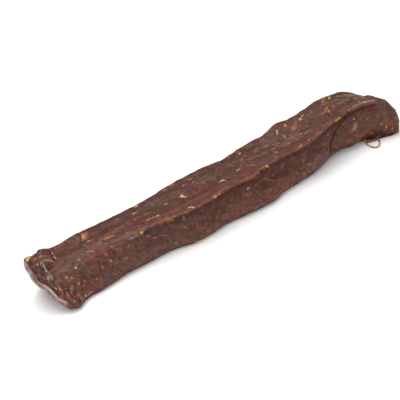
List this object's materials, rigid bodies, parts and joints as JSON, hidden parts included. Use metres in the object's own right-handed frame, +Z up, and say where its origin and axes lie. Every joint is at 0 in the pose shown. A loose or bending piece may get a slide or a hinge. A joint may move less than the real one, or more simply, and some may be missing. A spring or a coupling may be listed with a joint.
{
  "type": "landjaeger sausage",
  "caption": "Dried, pressed sausage stick with wrinkled flat sides, a lengthwise ridge, a slanting cut end and a blunt rounded end, lying on its lower flat.",
  "frame": {"origin": "middle of the stick's bounding box in plan, at the height of the flat it lies on", "axes": "+X along the stick from its cut end to its rounded end, +Y to its back side, +Z up from the flat it lies on"},
  "size_m": [0.1784, 0.031, 0.0188],
  "materials": {
    "dried_meat": "wrinkled, semi-gloss, dark reddish brown with cream and orange fat flecks"
  },
  "bodies": {
    "root": {"sausage": "dried_meat"}
  },
  "joints": []
}
